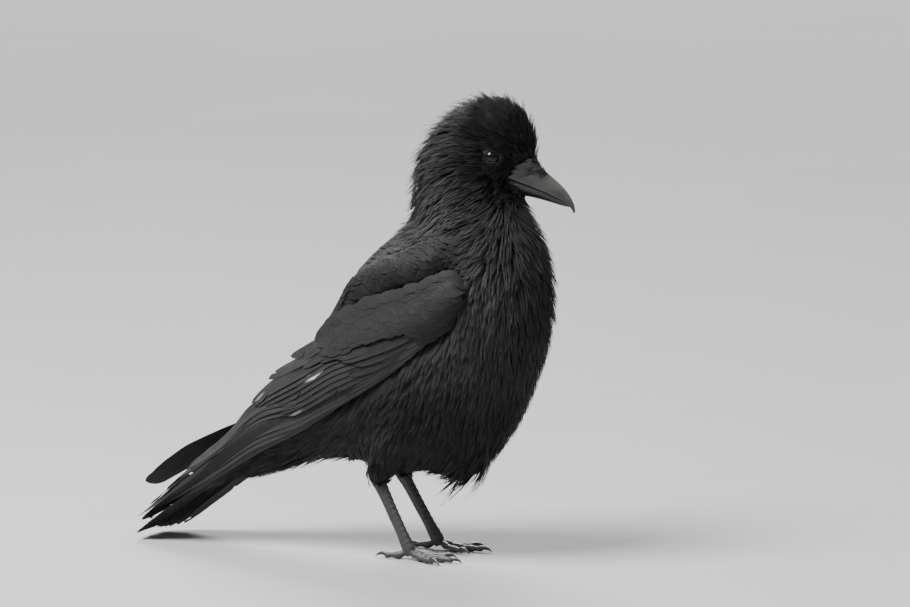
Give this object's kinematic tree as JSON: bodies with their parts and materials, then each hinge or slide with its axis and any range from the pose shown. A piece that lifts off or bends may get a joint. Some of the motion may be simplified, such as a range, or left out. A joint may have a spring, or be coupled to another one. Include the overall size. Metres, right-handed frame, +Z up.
{
  "type": "crow",
  "caption": "Life-size standing crow as a still model: black plumage, stout curved bill, folded wings, sloping tail and bare scaled legs, head turned a little to its left.",
  "frame": {"origin": "the bottom centre of the bird's own box, on the floor that it stands on, a little behind its feet", "axes": "+X the way the breast faces, +Y the bird's left, +Z up; the head looks 25 degrees to the left of +X"},
  "size_m": [0.3446, 0.1224, 0.3515],
  "materials": {
    "plumage": "soft satin body feathers, black with a faint cool sheen",
    "flight_feathers": "smooth satin vanes, black with a stronger cool sheen and a few pale worn flecks",
    "bill": "satin black horn with fine scratches",
    "eye": "very dark brown and wet",
    "leg_scales": "black scutes, dry satin",
    "claw": "polished black horn"
  },
  "bodies": {
    "root": {"head": "plumage", "neck": "plumage", "trunk": "plumage", "thigh_left": "plumage", "thigh_right": "plumage", "wing_left_coverts": "plumage", "wing_right_coverts": "plumage", "wing_left_secondaries": "flight_feathers", "wing_right_secondaries": "flight_feathers", "wing_left_primaries": "flight_feathers", "wing_right_primaries": "flight_feathers", "tail": "flight_feathers", "bill_upper": "bill", "bill_lower": "bill", "eye_left": "eye", "eye_right": "eye", "tarsus_left": "leg_scales", "tarsus_right": "leg_scales", "foot_left": "leg_scales", "foot_right": "leg_scales", "claw_left_inner": "claw", "claw_left_middle": "claw", "claw_left_outer": "claw", "claw_left_hind": "claw", "claw_right_inner": "claw", "claw_right_middle": "claw", "claw_right_outer": "claw", "claw_right_hind": "claw"}
  },
  "joints": []
}
